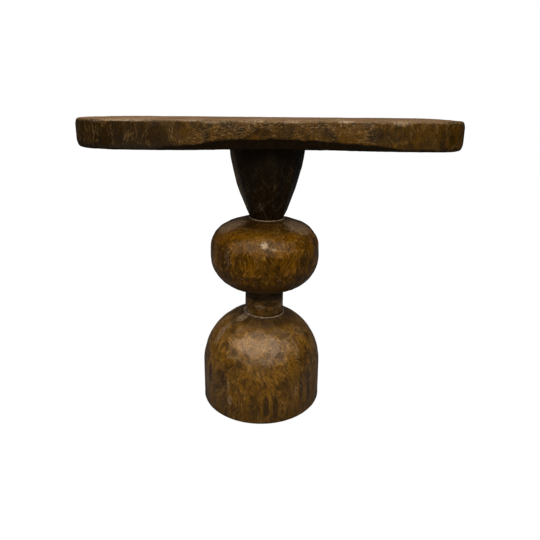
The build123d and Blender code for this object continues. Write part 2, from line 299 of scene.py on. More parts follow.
def wear_and_grease(tree, colour, brush, speckle, worn):
    """Grey scratched bands and painted sheen, pale seat lips and painted highlights, and painted
    shade in corners and under things.
    """
    # Grey bands are scratches and, on some shoulders and flats, painted sheen.
    scuff = ragged(tree, stored(tree, "scuff"), speckle)
    scored = limits(tree, brush, 0.44, 0.62, 0.15, 0.75)
    grey = tuple(0.6 * part + 0.4 * sum(worn[:3]) / 3 for part in worn[:3]) + (1,)
    colour = blend(tree, math(tree, "MULTIPLY", scuff, scored), colour, grey)
    broken = limits(tree, speckle, 0.38, 0.55, 0.12, 1.0)
    # Pale lips are partly worn wood and partly painted highlight.
    colour = blend(tree, math(tree, "MULTIPLY", stored(tree, "rim"), broken), colour, LIP)
    # Painted shade in corners, creases and under things.
    thick = limits(tree, speckle, 0.3, 0.6, 0.95, 0.75)
    return blend(tree, math(tree, "MULTIPLY", stored(tree, "grime"), thick), colour, GREASE), scuff


# %% The whole finish
DIMPLES, RELIEF = 0.55, 0.70  # how far dimples and brush marks seem to stand out, in mm


def carved_wood(name, colours, streak, shine, run=winding, brush_run=None,
                brush_size=(0.0030, 0.032), hollows=0.95, scratches=0.55, gloss=0.24):
    """Stained and waxed wood in four screen colours: deep, body, gold and worn."""
    material, tree, shader = new_material(name)
    deep, body, gold, worn = [tint(*colour) for colour in colours]
    brush = brushed(tree, brush_run or run, *brush_size)
    colour, patch, speckle = wood_colour(tree, deep, body, gold, worn, streak, run, brush,
                                         hollows, scratches)
    colour, scuff = wear_and_grease(tree, colour, brush, speckle, worn)

    rough = math(tree, "MULTIPLY_ADD", patch, 0.16, gloss - 0.08)
    rough = math(tree, "ADD", rough, limits(tree, brush, 0.35, 0.52, 0.16, 0))
    for mark, share in ((scuff, 0.12), (stored(tree, "stain"), 0.14),
                        (stored(tree, "grime"), 0.25)):
        rough = math(tree, "MULTIPLY_ADD", mark, share, rough)
    feed(tree, shader.inputs, {"Base Color": colour, "Roughness": rough,
                               "Specular IOR Level": shine,
                               "Specular Tint": (1.0, 0.70, 0.46, 1)})

    dimple = noise(tree, stretched(tree, 0.011, 0.015), 2, 0.5)
    height = math(tree, "MULTIPLY_ADD", brush, RELIEF, math(tree, "MULTIPLY", dimple, DIMPLES))
    emboss(tree, shader, height, 0.001)
    return material


# %% [markdown]
# ## Turning a blank
#
# Bulb, neck and base start as turned forms. Half of the section is drawn as a
# closed line, straight parts by pushing its tip along and curved parts by swinging
# the tip about a centre, and that line is then spun about the stack's axis. It
# runs down the bore for the tie rod too, so the blank is closed and has no poles.

# %% Drawing half a section
MESH_STEP = 0.0026  # about how far apart the points of a carved skin lie


class Pencil:
    """Draws half a section: a line at y = 0 whose tip is pushed straight on or swung."""

    def __init__(self, x, z):
        self.drawing = bmesh.new()
        self.tip = self.drawing.verts.new((x, 0, z))

    def straight(self, x, z, step=MESH_STEP):
        """Carries the line straight on to a new tip, in even steps."""
        reach = Vector((x, 0, z)) - self.tip.co
        count = max(1, round(reach.length / step))
        for _ in range(count):
            made = bmesh.ops.extrude_vert_indiv(self.drawing, verts=[self.tip])
            further = self.tip.co + reach / count
            self.tip = made["verts"][0]
            self.tip.co = further

    def swing(self, centre_x, centre_z, angle, step=MESH_STEP):
        """Carries the line on round a centre, by an angle that turns from +Z towards +X."""
        centre = Vector((centre_x, 0, centre_z))
        length = abs(angle) * (self.tip.co - centre).length
        made = bmesh.ops.spin(self.drawing, geom=[self.tip], cent=centre, axis=(0, 1, 0),
                              angle=angle, steps=max(2, round(length / step)))
        self.tip = next(item for item in made["geom_last"] if isinstance(item, bmesh.types.BMVert))

    def spin_round(self, widest):
        """Spins the closed line full circle and faces the skin outwards."""
        work = self.drawing
        bmesh.ops.remove_doubles(work, verts=work.verts, dist=1e-5)
        bmesh.ops.spin(work, geom=work.verts[:] + work.edges[:], cent=(0, 0, 0), axis=(0, 0, 1),
                       angle=tau, steps=round(tau * widest / MESH_STEP), use_merge=True)
        bmesh.ops.remove_doubles(work, verts=work.verts, dist=1e-6)
        bmesh.ops.recalc_face_normals(work, faces=work.faces)
        work.normal_update()
        return work


# %% [markdown]
# ## Paring the skin
#
# A carver takes the blank down with overlapping strokes. Each stroke leaves a
# shallow facet, and where two facets meet a ridge stays. Here every stroke is a
# flat or slightly hollow cut with its own place, tilt and depth. A point of the skin
# moves in by the deepest cut that reaches it, and it also remembers how near it lies
# to a ridge and which stroke shaped it, so that the wood can be worn and toned there.

# %% Placing the strokes
def stroke_places(work, skin, spacing, upright, chance):
    """Picks places on a skin that keep their distance, measured shorter along upright."""
    work.normal_update()
    outer = [vertex for vertex in work.verts if skin(vertex) > 0.05]
    places = np.array([vertex.co for vertex in outer])
    facings = np.array([vertex.normal for vertex in outer])
    squeezed = places.copy()
    squeezed[:, 2] /= upright
    order = list(range(len(places)))
    chance.shuffle(order)
    kept, taken = [], np.empty((0, 3))
    for index in order:
        gap = spacing / 1000 * chance.uniform(0.8, 1.25)
        if len(taken) and ((taken - squeezed[index]) ** 2).sum(1).min() < gap**2:
            continue
        kept.append(index)
        taken = np.vstack([taken, squeezed[index]])
    return places[kept], facings[kept]


def strokes(places, facings, depth, hollow, tilt, lean, chance, up=(0, 0, 1)):
    """One cut for every place: where, which way it faces and runs, how deep and how hollow."""
    cuts = []
    for place, facing in zip(places, facings):
        facing = Vector(facing)
        wobble = Vector([chance.gauss(0, radians(tilt)) for _ in range(3)])
        facing = (facing + wobble - facing * wobble.dot(facing)).normalized()
        along = Vector(up) - facing * facing.dot(Vector(up))
        if along.length < 0.2:
            along = Vector((1, 0, 0)) - facing * facing.x
        along.normalize()
        along.rotate(Matrix.Rotation(radians(chance.gauss(0, lean)), 3, facing))
        cuts.append((*place, *facing, *along, *facing.cross(along), chance.uniform(*depth) / 1000,
                     chance.uniform(*hollow[0]), chance.uniform(*hollow[1]), chance.uniform(-1, 1)))
    return np.array(cuts)


# %% Cutting them
MARKS = ("ridge", "tone", "rim", "grime", "stain", "scuff", "gilt", "bare")
BATCH = 3000  # points that are cut at a time
GLANCING = 0.5  # a stroke leaves a skin alone that it would only meet at a slant
RIDGE_WIDTH = 0.00035  # two cuts whose depths differ by less meet in a ridge


def cut_depths(cuts, places, facings):
    """How deep every cut goes at every point, measured along the skin's facing."""
    away = places[:, None, :] - cuts[None, :, 0:3]
    height, along, across = ((away * cuts[:, at:at + 3]).sum(2) for at in (3, 6, 9))
    cut = cuts[:, 12] + height - along**2 / (2 * cuts[:, 13]) - across**2 / (2 * cuts[:, 14])
    cut = np.minimum(cut, cuts[:, 12] * 1.5)
    square_on = facings @ cuts[:, 3:6].T
    return np.where(square_on > GLANCING, cut / np.maximum(square_on, GLANCING), -1.0)


def pare(work, cuts, skin):
    """Moves the points of the skin in by the deepest cut and stores what it left there."""
    floats = work.verts.layers.float
    layers = {name: floats.get(name) or floats.new(name) for name in MARKS}
    work.normal_update()
    points = [vertex for vertex in work.verts if skin(vertex) > 0]
    shares = np.array([skin(vertex) for vertex in points])
    places = np.array([vertex.co for vertex in points])
    facings = np.array([vertex.normal for vertex in points])
    deepest = np.zeros(len(points))
    for start in range(0, len(points), BATCH):
        some = slice(start, start + BATCH)
        cut = cut_depths(cuts, places[some], facings[some])
        ranked = np.argsort(cut, axis=1)
        rows, best = np.arange(len(ranked)), ranked[:, -1]
        first = np.maximum(cut[rows, best], 0)
        second = np.maximum(cut[rows, ranked[:, -2]], 0)
        ridge = np.exp(-(((first - second) / RIDGE_WIDTH) ** 2))
        for vertex, share, near, stroke in zip(points[some], shares[some], ridge, best):
            vertex[layers["ridge"]] = max(vertex[layers["ridge"]], float(near) * share)
            vertex[layers["tone"]] = float(cuts[stroke, 15]) * share
        deepest[some] = first
    for vertex, facing, cut, share in zip(points, facings, deepest, shares):
        vertex.co -= Vector(facing) * float(cut) * share
    return deepest


def carve(work, passes, skin, chance):
    """Lays out the strokes of every pass, then cuts them all.

    A pass is the skin that it works on, the strokes' distance in mm and how much longer
    that is upright, their depth in mm, their radii along and across in metres, and by how
    many degrees they tilt and lean. A last value says which way they run, if not upright.
    """
    cuts = []
    for worked, spacing, upright, depth, hollow, tilt, lean, *up in passes:
        places, facings = stroke_places(work, worked, spacing, upright, chance)
        cuts.append(strokes(places, facings, depth, hollow, tilt, lean, chance, *up))
    taken = pare(work, np.vstack(cuts), skin)
    print([len(some) for some in cuts], f"strokes, up to {taken.max() * 1000:.2f} mm deep")


# %% Finishing a piece
def as_object(work, name):
    """Puts a drawn mesh into the scene as an object."""
    mesh = bpy.data.meshes.new(name)
    work.to_mesh(mesh)
    work.free()
    made = bpy.data.objects.new(name, mesh)
    bpy.context.scene.collection.objects.link(made)
    return made


def finish_piece(work, name, material, slot, *nodes):
    """Makes the mesh an object that rides on the table and stands for its plain solid."""
    piece = as_object(work, name)
    mesh = piece.data
    mesh.polygons.foreach_set("use_smooth", [True] * len(mesh.polygons))
    mesh.materials.append(material)
    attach(piece, "root")
    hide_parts(*nodes)
    print(name, "triangles", sum(len(polygon.vertices) - 2 for polygon in mesh.polygons))


# %% [markdown]
# ## Dabs of stain, and of painted highlight, sheen and shade
#
# Some marks on old wood have no rule: a blot of stain, a rubbed spot, a golden patch
# where the wax is thick. They are dabbed on one by one, each with its place, its reach
# and its strength. A few more are strewn over the sides that are seldom seen.

# %% Dabbing
# Besides stain, wear and gold, some dabs paint highlights, sheen and shade.
DAB_EDGE, DAB_CUT = (0.45, 1.45), 1.4  # where a spot fades, in its half widths, and ends


def fade(value, low, high):
    """0 below low, 1 above high and an easy run between."""
    share = min(max((value - low) / (high - low), 0.0), 1.0)
    return share * share * (3 - 2 * share)


def dab(work, flat_on, **marks_by_layer):
    """Lays soft spots on the skin, each (where, height, half width, half height, strength).

    Sizes are in mm. flat_on turns the skin's points into two lengths along it.
    """
    work.verts.ensure_lookup_table()
    across, up = flat_on(np.array([vertex.co for vertex in work.verts]))
    for layer, marks in marks_by_layer.items():
        paint = work.verts.layers.float[layer]
        for where, level, wide, high, strength in marks:
            level, wide, high = level / 1000, wide / 1000, high / 1000
            away = np.hypot(np.abs(across(where)) / wide, (up - level) / high)
            for index in np.nonzero(away < DAB_CUT)[0]:
                vertex = work.verts[index]
                thinned = strength * (1 - fade(float(away[index]), *DAB_EDGE))
                vertex[paint] = max(vertex[paint], thinned)


def wash(work, layer, strength_at):
    """Paints the whole skin, as strongly as each of its points asks for."""
    paint = work.verts.layers.float[layer]
    for vertex in work.verts:
        vertex[paint] = max(vertex[paint], strength_at(vertex))


def round_member(x):
    """A spot on a turned member: degrees round from the front, and a height."""
    def lengths(places):
        radius = np.hypot(places[:, 0] - x, places[:, 1])
        angle = np.arctan2(places[:, 0] - x, -places[:, 1])

        def across(degrees_round):
            return ((angle - radians(degrees_round) + pi) % tau - pi) * radius
        return across, places[:, 2]
    return lengths


def strewn(chance, count, low, high, wide, tall, strength):
    """Marks for the sides and the back, where none was given one by one."""
    return [(chance.uniform(75, 285), chance.uniform(low, high), chance.uniform(*wide),
             chance.uniform(*tall), chance.uniform(*strength)) for _ in range(count)]


# %% [markdown]
# ## The domed base
#
# Upright below and domed above, with a round seat that the neck stands in. The
# dome's top is an arc centred on the axis, and a smaller arc rounds it over into the
# side, so the two radii and the seat are all that its section needs. The carver
# pared it with broad flat strokes and scraped it almost smooth.

# %% Sizes of the stack, in metres
def middle_of(node_name):
    """Where a solid's middle lies along the slab."""
    low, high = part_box(node_name)
    return (low[0] + high[0]) / 2


ROD_X = middle_of("tie_rod")
BORE = 0.007
BORE_WALL = BORE * 1.5  # points nearer the axis than this belong to the bore
SEAT_GAP = 0.0004
SEAT_SPREAD, SEAT_HEIGHT, ON_ARC = 1.7, 0.02, 2e-4  # what moves with a seat, round it and up
FULL = 0.0009  # the blank stands this proud, and the strokes take it down again


def shoulder_angle(side, crown, shoulder):
    """The angle from upright at which the crown's arc hands over to the shoulder's."""
    return asin((side - shoulder) / (crown - shoulder))


# %% The domed base
DOME_X, DOME_SIDE, DOME_FLOOR, DOME_RIM = middle_of("dome_base"), 0.158, 0.003, 0.240
DOME_CROWN, DOME_SHOULDER, DOME_ARRIS = 0.1667, 0.142, 0.005
POCKET, POCKET_TOP = 0.032, DOME_FLOOR + 0.034
FLOOR_STEP, WALL_STEP, UNDER_STEP, BORE_STEP = 0.009, 0.002, 0.012, 0.02  # of hidden parts
NECK_X, NECK_SIDE, NECK_FLOOR = middle_of("neck"), 0.0516, 0.236
NECK_SEAT = NECK_SIDE + SEAT_GAP


def dome_blank():
    """The turned base: bore, seat, crown, shoulder, side, foot and underside."""
    side, crown = DOME_SIDE + FULL, DOME_CROWN + FULL
    centre = DOME_RIM - sqrt(DOME_CROWN**2 - NECK_SEAT**2)
    rim_angle = asin(NECK_SEAT / crown)
    turn = shoulder_angle(side, crown, DOME_SHOULDER)
    line = Pencil(BORE, NECK_FLOOR)
    line.straight(NECK_SEAT, NECK_FLOOR, FLOOR_STEP)
    line.straight(NECK_SEAT, centre + crown * cos(rim_angle), WALL_STEP)
    line.swing(0, centre, turn - rim_angle)
    line.swing(side - DOME_SHOULDER, centre + (crown - DOME_SHOULDER) * cos(turn), pi / 2 - turn)
    line.straight(side, DOME_FLOOR + DOME_ARRIS)
    line.swing(side - DOME_ARRIS, DOME_FLOOR + DOME_ARRIS, pi / 2)
    line.straight(POCKET, DOME_FLOOR, UNDER_STEP)
    line.straight(POCKET, POCKET_TOP, UNDER_STEP)
    line.straight(BORE, POCKET_TOP, UNDER_STEP)
    line.straight(BORE, NECK_FLOOR, BORE_STEP)
    return line.spin_round(side), centre, crown


def move_to_place(work, body_x, seats=()):
    """Slides the blank to its own middle, and what lies inside a seat to the seat's.

    A seat is its middle, its radius, and the centre height and radius of the
    crown's arc round it, which is negative for a seat on the underside.
    """
    for vertex in work.verts:
        radius = hypot(vertex.co.x, vertex.co.y)
        shift = body_x if radius > BORE_WALL else ROD_X
        for seat_x, seat_radius, centre, crown in seats:
            rim_level = centre + crown * cos(asin(seat_radius / abs(crown)))
            near = 1 - fade(radius, seat_radius, seat_radius * SEAT_SPREAD)
            off_level = abs(vertex.co.z - rim_level) > SEAT_HEIGHT
            if near == 0 or radius < BORE_WALL or off_level:
                continue
            shift = body_x + (seat_x - body_x) * near
            if abs(hypot(radius, vertex.co.z - centre) - abs(crown)) < ON_ARC:
                away = hypot(vertex.co.x + shift - body_x, vertex.co.y)
                change = sqrt(crown**2 - away**2) - sqrt(crown**2 - radius**2)
                vertex.co.z += change if crown > 0 else -change
        vertex.co.x += shift


base, base_centre, base_crown = dome_blank()
move_to_place(base, DOME_X, [(NECK_X, NECK_SEAT, base_centre, base_crown)])
print("base blank", len(base.verts), "points")


# %% Its skin, and the strokes on it
def from_axis(vertex, x):
    """How far a point lies from an upright line at this place along the slab."""
    return hypot(vertex.co.x - x, vertex.co.y)


def dome_skin(vertex):
    """1 on the outside of the base, easing to 0 at the seat and at the foot."""
    off_seat = fade(from_axis(vertex, NECK_X), NECK_SEAT + 0.001, NECK_SEAT + 0.010)
    off_foot = fade(vertex.co.z, DOME_FLOOR + 0.0005, DOME_FLOOR + 0.006)
    outside = 1 if from_axis(vertex, DOME_X) > 0.06 or vertex.co.z > 0.2 else 0
    return off_seat * off_foot * outside


def between(skin, low, high):
    """The part of a skin between two heights."""
    return lambda vertex: skin(vertex) if low < vertex.co.z < high else 0


carve(base, (
    (between(dome_skin, 0.130, 1), 34, 1.2, (0.7, 1.1), ((0.6, 2.0), (0.4, 1.2)), 0.7, 40),
    (between(dome_skin, 0, 0.145), 26, 2.2, (0.6, 1.5), ((0.6, 2.0), (0.25, 0.9)), 1.5, 14),
), dome_skin, random.Random(11))


# %% Worn lips with painted highlight, and painted shade in the corners
LIP_WIDTH, LIP_HEIGHT = 0.0030, 0.0009


def mark_seat(work, seat_x, seat_radius, level_low, level_high):
    """Raises the lip of a seat and pales it, partly as worn wood and partly as painted highlight,
    and paints shade inside the seat and in the crease round it.
    """
    rim, grime = (work.verts.layers.float[name] for name in ("rim", "grime"))
    for vertex in work.verts:
        if not level_low < vertex.co.z < level_high:
            continue
        away = from_axis(vertex, seat_x) - seat_radius
        # Painted shade inside the seat.
        if away < -0.0005:
            vertex[grime] = 1.0
            continue
        # The lip is paled, most in front, as worn wood and painted highlight; just beyond it lies
        # painted shade in the crease.
        lip = 1 - fade(away, LIP_WIDTH * 0.5, LIP_WIDTH * 1.5)
        round_by = atan2(vertex.co.x - seat_x, -vertex.co.y)
        rubbed = 0.68 + 0.26 * cos(round_by) + 0.12 * sin(7 * round_by + 1)
        vertex[rim] = max(vertex[rim], lip * rubbed)
        vertex[grime] = max(vertex[grime], 0.75 * (1 - fade(away, LIP_WIDTH, 0.012)) * (1 - lip))
        vertex.co.z += LIP_HEIGHT * lip


def halo(work, seat_x, seat_radius, reach, level_low, strength):
    """Darkening that spreads out round a seat and thins with distance: partly staining, partly
    painted shade under the member that stands in the seat.
    """
    def strength_at(vertex):
        away = from_axis(vertex, seat_x) - seat_radius
        return strength * (1 - fade(away, 0, reach)) if vertex.co.z > level_low else 0
    wash(work, "stain", strength_at)


# The neck's seat: a pale lip, partly painted highlight, and round it darker wood, partly staining
# and partly painted shade under the bulb.
mark_seat(base, NECK_X, NECK_SEAT, 0.2355, 0.26)
halo(base, NECK_X, NECK_SEAT, 0.068, 0.19, 0.92)

# %% Its stains, worn spots and golden patches
chance = random.Random(3)
dab(base, round_member(DOME_X),
    stain=[(-60, 232, 30, 14, 0.7), (-57, 100, 9, 34, 0.8), (-38, 112, 6, 14, 0.8),
           (5, 50, 9, 34, 0.75), (14, 45, 8, 40, 0.8), (41, 85, 8, 44, 0.8),
           (52, 60, 9, 44, 0.75), (-70, 40, 14, 40, 0.75), (-74, 110, 20, 60, 0.5),
           (72, 100, 16, 70, 0.4), (-84, 100, 20, 80, 0.4), (84, 100, 20, 80, 0.4)]
    + strewn(chance, 12, 30, 200, (5, 14), (20, 45), (0.4, 0.6)),
    gilt=[(-57, 120, 34, 30, 0.6), (0, 224, 60, 7, 0.6), (14, 125, 30, 20, 0.5),
          (-10, 100, 20, 30, 0.5)]
    + strewn(chance, 6, 50, 200, (20, 50), (20, 40), (0.4, 0.7)),
    scuff=[(-30, 56, 7, 13, 1.0), (-31, 92, 6, 14, 0.7), (34, 78, 10, 18, 0.5),
           (-52, 236, 14, 8, 0.8), (40, 185, 14, 36, 0.45), (-62, 200, 14, 30, 0.62),
           (62, 205, 30, 16, 0.4)]
    + strewn(chance, 8, 40, 230, (6, 20), (10, 40), (0.4, 0.6)))
# Darker towards the bottom of the base.
wash(base, "stain", lambda vertex: 0.50 * (1 - fade(vertex.co.z, 0.015, 0.100)))
base_wood = carved_wood("waxed_base_wood",
                        ((38, 21, 0), (82, 53, 4), (112, 74, 12), (158, 118, 62)),
                        streak=(0.014, 0.060), gloss=0.26, shine=0.74)
finish_piece(base, "carved_base", base_wood, "pedestal_wood", "dome_base")

# %% [markdown]
# ## The neck
#
# A short plain cylinder, pared upright in narrow strokes. Its two ends stand in
# seats, so only its side is ever seen.

# %% The neck
NECK_TOP = 0.312


def tube_blank(side, top, floor, step, widest):
    """A tube round the bore, for a member without a turned profile."""
    line = Pencil(BORE, top)
    line.straight(side, top, FLOOR_STEP)
    line.straight(side, floor, step)
    line.straight(BORE, floor, FLOOR_STEP)
    line.straight(BORE, top, BORE_STEP)
    return line.spin_round(widest)


def neck_skin(vertex):
    """1 on the side of the neck."""
    return fade(from_axis(vertex, NECK_X), NECK_SIDE * 0.97, NECK_SIDE * 0.99)


neck = tube_blank(NECK_SIDE, NECK_TOP, NECK_FLOOR, WALL_STEP, NECK_SIDE)
move_to_place(neck, NECK_X)
carve(neck, [(neck_skin, 17, 2.2, (0.5, 1.1), ((0.6, 2.0), (0.12, 0.4)), 1.5, 12)],
      neck_skin, random.Random(5))
# Painted shade: the neck's top lies in the bulb's shadow, and its foot in the crease of the dome's
# seat.
wash(neck, "grime", lambda vertex: (0.90 * fade(vertex.co.z, 0.274, 0.292)
                                    + 0.6 * (1 - fade(vertex.co.z, 0.241, 0.252))))
dab(neck, round_member(NECK_X),
    scuff=[(-72, 250, 8, 14, 0.95), (-50, 246, 8, 6, 0.8), (-12, 268, 16, 6, 0.7),
           (60, 262, 10, 10, 0.6), (180, 262, 20, 10, 0.6)],
    stain=[(-62, 262, 4, 20, 0.8), (-30, 258, 3, 16, 0.7), (34, 262, 4, 16, 0.6)])
neck_wood = carved_wood("waxed_neck_wood", ((28, 16, 1), (70, 45, 5), (94, 62, 10), (146, 116, 80)),
                        streak=(0.004, 0.05), run=ringed, brush_size=(0.0024, 0.040), shine=0.4)
finish_piece(neck, "carved_neck", neck_wood, "pedestal_wood", "neck")

# %% [markdown]
# ## The bulb
#
# A squashed ball, squarer above than below, again from a crown arc and a shoulder
# arc for each half. Its upper half shows crisp facets the size of a thumb, and
# its lower half was drawn down with narrow upright strokes.

# %% The bulb
BULB_X, BULB_SIDE, BULB_FOOT, BULB_RIM = middle_of("bulb"), 0.144, 0.309, 0.4995
BULB_CROWN, BULB_CROWN_SHOULDER = 0.2559, 0.066
BULB_SOLE, BULB_SOLE_SHOULDER = 0.2326, 0.088
CAPITAL_X, CAPITAL_FOOT, CAPITAL_FLOOR = middle_of("capital"), 0.0435, 0.496
CAPITAL_SEAT = CAPITAL_FOOT + SEAT_GAP


def bulb_blank():
    """The turned bulb, from its upper seat round to its lower one and up the bore."""
    side, crown, sole = BULB_SIDE + FULL, BULB_CROWN + FULL, BULB_SOLE + FULL
    crown_centre = BULB_RIM - sqrt(BULB_CROWN**2 - CAPITAL_SEAT**2)
    sole_centre = BULB_FOOT + sqrt(BULB_SOLE**2 - NECK_SEAT**2)
    rim_angle, sole_rim_angle = asin(CAPITAL_SEAT / crown), asin(NECK_SEAT / sole)
    upper = shoulder_angle(side, crown, BULB_CROWN_SHOULDER)
    lower = shoulder_angle(side, sole, BULB_SOLE_SHOULDER)
    upper_z = crown_centre + (crown - BULB_CROWN_SHOULDER) * cos(upper)
    lower_z = sole_centre - (sole - BULB_SOLE_SHOULDER) * cos(lower)
    line = Pencil(BORE, CAPITAL_FLOOR)
    line.straight(CAPITAL_SEAT, CAPITAL_FLOOR, FLOOR_STEP)
    line.straight(CAPITAL_SEAT, crown_centre + crown * cos(rim_angle), WALL_STEP)
    line.swing(0, crown_centre, upper - rim_angle)
    line.swing(side - BULB_CROWN_SHOULDER, upper_z, pi / 2 - upper)
    line.straight(side, lower_z)
    line.swing(side - BULB_SOLE_SHOULDER, lower_z, pi / 2 - lower)
    line.swing(0, sole_centre, lower - sole_rim_angle)
    line.straight(NECK_SEAT, NECK_TOP, WALL_STEP)
    line.straight(BORE, NECK_TOP, FLOOR_STEP)
    line.straight(BORE, CAPITAL_FLOOR, BORE_STEP)
    print(f"bulb: widest from {lower_z:.4f} to {upper_z:.4f}")
    return line.spin_round(side), (crown_centre, crown), (sole_centre, -sole)


def bulb_skin(vertex):
    """1 on the outside of the bulb, easing to 0 at both seats."""
    seat_x, seat = (CAPITAL_X, CAPITAL_SEAT) if vertex.co.z > 0.4 else (NECK_X, NECK_SEAT)
    return fade(from_axis(vertex, seat_x), seat + 0.001, seat + 0.008)


bulb, bulb_crown_arc, bulb_sole_arc = bulb_blank()
move_to_place(bulb, BULB_X, [(CAPITAL_X, CAPITAL_SEAT, *bulb_crown_arc),
                             (NECK_X, NECK_SEAT, *bulb_sole_arc)])

# %% Thumb-sized facets above, narrow upright strokes below
carve(bulb, (
    (between(bulb_skin, 0.405, 1), 25, 1.2, (0.7, 1.4), ((0.7, 2.0), (0.3, 1.0)), 2.1, 60),
    (between(bulb_skin, 0, 0.420), 12.5, 3.6, (0.7, 1.3), ((0.16, 0.24), (0.045, 0.10)), 1.0, 4),
), bulb_skin, random.Random(23))
# The capital's seat: a pale lip, partly painted highlight, and round it darker wood, partly
# staining and partly painted shade under the capital and the slab.
mark_seat(bulb, CAPITAL_X, CAPITAL_SEAT, 0.4955, 0.51)
halo(bulb, CAPITAL_X, CAPITAL_SEAT, 0.112, 0.45, 0.95)

# %% Its stains, worn spots, golden patches, painted sheen and a painted highlight
chance = random.Random(4)
dab(bulb, round_member(BULB_X),
    stain=[(2, 405, 12, 24, 0.45), (13, 395, 8, 22, 0.5), (-40, 400, 8, 34, 0.5),
           (-58, 380, 12, 34, 0.5), (36, 385, 12, 24, 0.6), (0, 340, 150, 10, 0.5),
           (62, 410, 14, 34, 0.45), (-84, 400, 20, 50, 0.4), (84, 400, 20, 50, 0.4)]
    + strewn(chance, 12, 340, 460, (6, 16), (16, 36), (0.4, 0.6)),
    gilt=[(0, 474, 80, 6, 0.5), (-5, 366, 80, 8, 0.5), (24, 415, 22, 30, 0.5),
          (-12, 395, 12, 30, 0.6)]
    + strewn(chance, 6, 360, 470, (20, 50), (10, 30), (0.4, 0.6)),
    # The grey bands high on the left and the right are partly scratches and partly painted sheen.
    scuff=[(-72, 482, 40, 16, 0.8), (68, 482, 50, 16, 0.75), (-38, 425, 12, 36, 0.45),
           (-62, 420, 12, 40, 0.45), (-24, 376, 10, 2, 0.7), (-8, 371, 8, 2, 0.6),
           (16, 375, 12, 2, 0.7), (28, 380, 6, 3, 0.6)]
    + strewn(chance, 8, 360, 490, (10, 40), (10, 30), (0.4, 0.6)),
    # A painted highlight: the bright facet in the middle of the bulb's sheen.
    rim=[(0, 460, 9, 7.2, 0.70), (10, 451.5, 7, 3, 0.35)])
bulb_wood = carved_wood("waxed_bulb_wood", ((36, 20, 1), (69, 42, 0), (96, 60, 2), (146, 106, 54)),
                        streak=(0.008, 0.05), scratches=0.70, gloss=0.22, shine=0.20)
finish_piece(bulb, "carved_bulb", bulb_wood, "pedestal_wood", "bulb")

# %% [markdown]
# ## The capital
#
# The capital swells from a narrow foot to the slab. It was turned over in the hands
# and drawn down with a drawknife, which leaves a few long flats of uneven width that
# wander a little on their way. The blank is turned round and full, and each flat
# is then a long cut of its own, so the arrises fall wherever two cuts meet.

# %% The capital
SLAB_UNDER = 0.692
CAPITAL_HEAD, CAPITAL_SWELL = 0.096, 0.008 * 1.04
CAPITAL_STEP, CAPITAL_NET = 0.0024, 0.085  # steps up its side, and a radius for those round it
ROUND_BLANK, FLAT_REACH = 1.035, 1.2  # how full the blank is, and how far round a flat may cut
FLATS = ((-66, 1.0), (-14, 0.985), (31, 1.0), (66, 1.005), (99, 0.99), (134, 1.0), (170, 0.985),
         (206, 1.0), (246, 0.99))  # the way each flat faces from the front, and how deep it is


def capital_radius(z):
    """How far the flats lie from the middle at this height, along one arc."""
    share = min(max((z - BULB_RIM) / (SLAB_UNDER - BULB_RIM), 0), 1)
    straight_side = CAPITAL_FOOT + (CAPITAL_HEAD - CAPITAL_FOOT) * share
    return straight_side + CAPITAL_SWELL * 4 * share * (1 - share)


def cut_flats(work, chance):
    """Opens the tube out and cuts its flats, each wandering a degree or two on its way up."""
    sways = [(chance.uniform(0, tau), chance.uniform(2, 5)) for _ in FLATS]
    for vertex in work.verts:
        radius = hypot(vertex.co.x, vertex.co.y)
        if radius < BORE_WALL:
            vertex.co.x += ROD_X
            continue
        share = (radius - BORE) / (CAPITAL_FOOT - BORE)
        angle = atan2(vertex.co.x, -vertex.co.y)
        side = capital_radius(vertex.co.z)
        rise = (vertex.co.z - BULB_RIM) / (SLAB_UNDER - BULB_RIM)
        cut = side * ROUND_BLANK
        for (faces, depth), (phase, sway) in zip(FLATS, sways):
            toward = radians(faces + sway * sin(phase + 4 * rise))
            between = (angle - toward + pi) % tau - pi
            if abs(between) < FLAT_REACH:
                cut = min(cut, side * depth / cos(between))
        flatness = fade(rise, 0.0, 0.12)
        wide = side * (1 - flatness) + cut * flatness
        new_radius = BORE + (wide - BORE) * share
        vertex.co.x = sin(angle) * new_radius + CAPITAL_X
        vertex.co.y = -cos(angle) * new_radius


# %% Its strokes, painted shade, painted reflections and stains
def capital_skin(vertex):
    """1 on the side of the capital, easing to 0 where it meets the slab and the seat."""
    z = vertex.co.z
    outside = 1 if from_axis(vertex, CAPITAL_X) > capital_radius(z) * 0.93 else 0
    return outside * fade(z, BULB_RIM - 0.001, BULB_RIM + 0.01) * (1 - fade(z, 0.6905, 0.6915))


def capital_soot(vertex):
    """Painted shade of the slab above, thicker towards the slab and thinner on the flats to the
    left and the right, and a little in the crease at the foot.
    """
    z, round_by = vertex.co.z, abs(atan2(vertex.co.x - CAPITAL_X, -vertex.co.y))
    sooty = 1 - 0.75 * fade(round_by, 0.62, 0.75) * (1 - fade(round_by, 2.3, 2.5))
    return (0.35 + 0.65 * fade(z, 0.56, 0.66)) * sooty + 0.4 * (1 - fade(z, 0.502, 0.512))


capital = tube_blank(CAPITAL_FOOT, SLAB_UNDER, CAPITAL_FLOOR, CAPITAL_STEP, CAPITAL_NET)
chance = random.Random(8)
cut_flats(capital, chance)
carve(capital, [(capital_skin, 20, 2.6, (0.6, 1.4), ((0.8, 2.5), (0.08, 0.30)), 1.6, 8)],
      capital_skin, chance)
# Painted shade under the slab and in the crease at the foot.
wash(capital, "grime", capital_soot)
